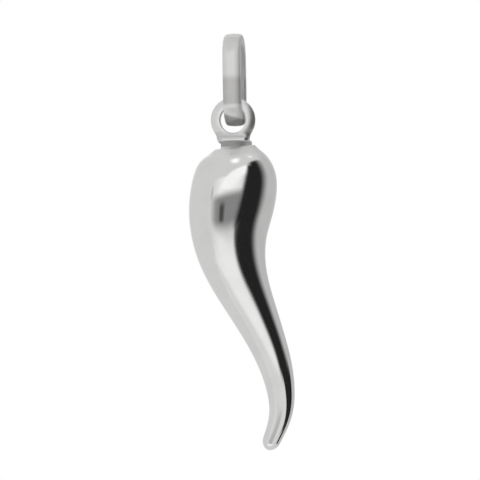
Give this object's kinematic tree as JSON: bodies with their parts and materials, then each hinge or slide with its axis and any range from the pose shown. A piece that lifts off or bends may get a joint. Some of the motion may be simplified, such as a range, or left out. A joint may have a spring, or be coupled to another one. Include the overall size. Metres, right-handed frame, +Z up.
{
  "type": "horn pendant",
  "caption": "Polished S-curved horn charm with a soldered eyelet, hanging free in an oval half-round bail.",
  "frame": {"origin": "highest point of the space inside the bail, where a chain carries the pendant", "axes": "+Z up along the hanging pendant, +X to the right seen from the front and along the chain, front faces -Y"},
  "size_m": [0.0073, 0.006, 0.0292],
  "materials": {
    "bail_metal": "satin white gold",
    "horn_metal": "mirror-polished white gold"
  },
  "bodies": {
    "bail": {"bail": "bail_metal"},
    "horn": {"horn": "horn_metal"}
  },
  "joints": [
    {"name": "horn_swing", "type": "hinge", "parent": "bail", "child": "horn", "pos_m": [0, 0, -0.00525], "axis": [0, -1, 0], "range_deg": [-120, 120]}
  ]
}
